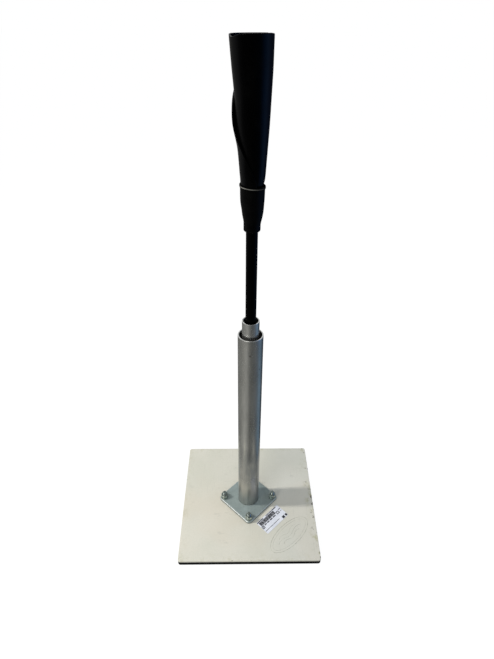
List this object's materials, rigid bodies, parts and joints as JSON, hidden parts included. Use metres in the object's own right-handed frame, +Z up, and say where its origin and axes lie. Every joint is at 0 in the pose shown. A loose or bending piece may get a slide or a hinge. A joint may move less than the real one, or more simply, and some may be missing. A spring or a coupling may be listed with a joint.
{
  "type": "batting tee",
  "caption": "Free-standing batting tee: square weighted base, telescoping round stem and a flexible rolled-rubber cone that holds a ball.",
  "frame": {"origin": "on the floor under the stem's axis, at the centre of the base's underside", "axes": "+Z up along the stem; -Y is the front, +X to the right seen from the front"},
  "size_m": [0.33, 0.33, 1.0278],
  "materials": {
    "black_rubber": "matte black moulded rubber",
    "white_board": "off-white board, mottled and scuffed, stained along its edges",
    "label_film": "pale printed film, satin",
    "zinc_plate": "dull zinc-plated steel plate",
    "zinc_hardware": "zinc-plated steel fasteners",
    "tube_steel": "drawn steel tube, satin, scuffed along its length",
    "weld_bead": "dark weld metal",
    "black_nylon": "black moulded nylon",
    "black_rod": "black satin rod",
    "roll_rubber": "black rubber sheet with a slight sheen"
  },
  "bodies": {
    "base": {"rubber_mat": "black_rubber", "base_board": "white_board", "label": "label_film", "flange_plate": "zinc_plate", "carriage_bolt_1": "zinc_hardware", "carriage_bolt_2": "zinc_hardware", "carriage_bolt_3": "zinc_hardware", "carriage_bolt_4": "zinc_hardware", "lock_washer_1": "zinc_hardware", "lock_washer_2": "zinc_hardware", "lock_washer_3": "zinc_hardware", "lock_washer_4": "zinc_hardware", "hex_nut_1": "zinc_hardware", "hex_nut_2": "zinc_hardware", "hex_nut_3": "zinc_hardware", "hex_nut_4": "zinc_hardware", "outer_tube": "tube_steel", "tube_weld": "weld_bead", "bump_stop": "black_rubber", "outer_guide_bush": "black_nylon"},
    "middle": {"middle_tube": "tube_steel", "foot_glide": "black_nylon", "stop_collar": "black_nylon", "collar_pin_1": "zinc_hardware", "collar_pin_2": "zinc_hardware", "middle_guide_bush": "black_nylon"},
    "glide": {"rod_glide": "black_nylon", "o_ring_1": "black_rubber", "o_ring_2": "black_rubber"},
    "rod_body": {"rod": "black_rod", "keeper_washer": "zinc_hardware", "keeper_screw": "zinc_hardware", "rubber_boot": "roll_rubber"},
    "ball_rest": {"rolled_sheet": "roll_rubber", "core_plug": "black_nylon"}
  },
  "joints": [
    {"name": "middle_slide", "type": "slide", "parent": "base", "child": "middle", "axis": [0, 0, 1], "range_m": [0, 0.15]},
    {"name": "rod_slide", "type": "slide", "parent": "middle", "child": "glide", "axis": [0, 0, 1], "range_m": [-0.17, 0.105]},
    {"name": "rod_swivel", "type": "hinge", "parent": "glide", "child": "rod_body", "pos_m": [0, 0, 0.378], "axis": [0, 0, 1], "continuous": true},
    {"name": "rest_flex", "type": "hinge", "parent": "rod_body", "child": "ball_rest", "pos_m": [0, 0, 0.781], "axis": [1, 0, 0], "range_deg": [-20, 20], "stiffness_Nm_per_rad": 6, "deforming": ["rubber_boot"]}
  ]
}
